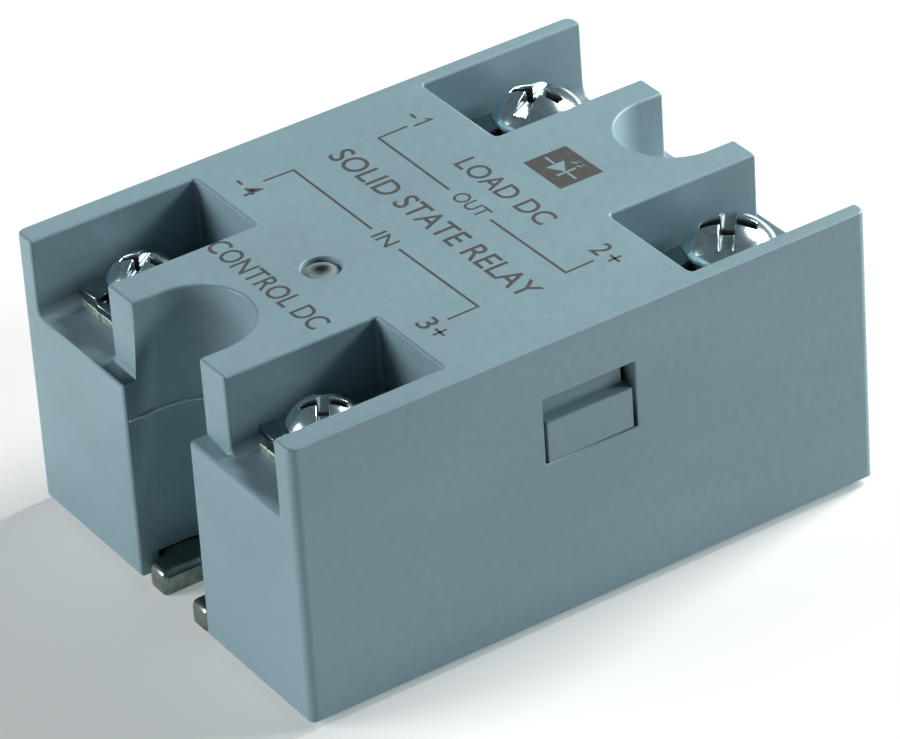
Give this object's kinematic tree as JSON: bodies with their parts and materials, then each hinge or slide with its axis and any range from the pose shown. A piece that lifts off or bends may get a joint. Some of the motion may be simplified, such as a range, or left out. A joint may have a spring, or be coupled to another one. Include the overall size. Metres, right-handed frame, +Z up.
{
  "type": "solid state relay",
  "caption": "Block-shaped solid state relay: moulded housing on a metal base plate, screw terminals in pockets at both ends, open U cut-outs for mounting screws, snap windows in the sides.",
  "frame": {"origin": "middle of the base plate's underside", "axes": "+Z up, away from the heatsink; +Y towards the output terminals 1 and 2; +X towards terminals 2 and 3"},
  "size_m": [0.045, 0.06, 0.0285],
  "materials": {
    "housing_plastic": "satin moulded grey-blue plastic",
    "plate_metal": "bright plated, slightly dull, rounded stamped edges",
    "ceramic_tile": "fired alumina, matt",
    "copper": "bare copper, lightly oxidised",
    "black_package": "moulded epoxy package",
    "potting_gel": "soft dark potting compound",
    "board_green": "solder mask over glass fibre",
    "white_package": "moulded white package",
    "capacitor_sleeve": "shrink sleeve",
    "resistor_body": "lacquered film resistor",
    "clear_lens": "water-clear indicator lens",
    "tinned_lead": "tinned wire",
    "tinned_bar": "rough hot-tinned brass",
    "nut_steel": "zinc plated",
    "clamp_steel": "nickel plated pressed steel",
    "washer_steel": "zinc plated spring steel",
    "screw_chrome": "bright nickel plated"
  },
  "bodies": {
    "relay_body": {"housing": "housing_plastic", "base_carrier": "housing_plastic", "base_plate": "plate_metal", "insulating_tile": "ceramic_tile", "copper_pads": "copper", "power_transistor_1": "black_package", "power_transistor_2": "black_package", "clamp_diode": "black_package", "potting": "potting_gel", "circuit_board": "board_green", "optocoupler": "white_package", "driver_chip": "black_package", "smoothing_capacitor": "capacitor_sleeve", "input_resistors": "resistor_body", "input_diode": "black_package", "indicator_lens": "clear_lens", "indicator_leads": "tinned_lead", "terminal_bar_1": "tinned_bar", "terminal_nut_1": "nut_steel", "terminal_bar_2": "tinned_bar", "terminal_nut_2": "nut_steel", "terminal_bar_3": "tinned_bar", "terminal_nut_3": "nut_steel", "terminal_bar_4": "tinned_bar", "terminal_nut_4": "nut_steel"},
    "clamp_1": {"clamp_plate_1": "clamp_steel", "lock_washer_1": "washer_steel"},
    "screw_1": {"terminal_screw_1": "screw_chrome"},
    "clamp_2": {"clamp_plate_2": "clamp_steel", "lock_washer_2": "washer_steel"},
    "screw_2": {"terminal_screw_2": "screw_chrome"},
    "clamp_3": {"clamp_plate_3": "clamp_steel", "lock_washer_3": "washer_steel"},
    "screw_3": {"terminal_screw_3": "screw_chrome"},
    "clamp_4": {"clamp_plate_4": "clamp_steel", "lock_washer_4": "washer_steel"},
    "screw_4": {"terminal_screw_4": "screw_chrome"}
  },
  "joints": [
    {"name": "clamp_1_lift", "type": "slide", "parent": "relay_body", "child": "clamp_1", "axis": [0, 0, 1], "range_m": [0, 0.0035]},
    {"name": "screw_1_turn", "type": "hinge", "parent": "clamp_1", "child": "screw_1", "pos_m": [-0.01475, 0.0205, 0.0235], "axis": [0, 0, 1], "range_deg": [0, 1801]},
    {"name": "clamp_2_lift", "type": "slide", "parent": "relay_body", "child": "clamp_2", "axis": [0, 0, 1], "range_m": [0, 0.0035]},
    {"name": "screw_2_turn", "type": "hinge", "parent": "clamp_2", "child": "screw_2", "pos_m": [0.01475, 0.0205, 0.0235], "axis": [0, 0, 1], "range_deg": [0, 1801]},
    {"name": "clamp_3_lift", "type": "slide", "parent": "relay_body", "child": "clamp_3", "axis": [0, 0, 1], "range_m": [0, 0.003]},
    {"name": "screw_3_turn", "type": "hinge", "parent": "clamp_3", "child": "screw_3", "pos_m": [0.01475, -0.0217, 0.0235], "axis": [0, 0, 1], "range_deg": [0, 1801]},
    {"name": "clamp_4_lift", "type": "slide", "parent": "relay_body", "child": "clamp_4", "axis": [0, 0, 1], "range_m": [0, 0.003]},
    {"name": "screw_4_turn", "type": "hinge", "parent": "clamp_4", "child": "screw_4", "pos_m": [-0.01475, -0.0217, 0.0235], "axis": [0, 0, 1], "range_deg": [0, 1801]}
  ],
  "couplings": [
    {"joint": "screw_1_turn", "follows": "clamp_1_lift", "rad_per_m": 8976},
    {"joint": "screw_2_turn", "follows": "clamp_2_lift", "rad_per_m": 8976},
    {"joint": "screw_3_turn", "follows": "clamp_3_lift", "rad_per_m": 10472},
    {"joint": "screw_4_turn", "follows": "clamp_4_lift", "rad_per_m": 10472}
  ]
}
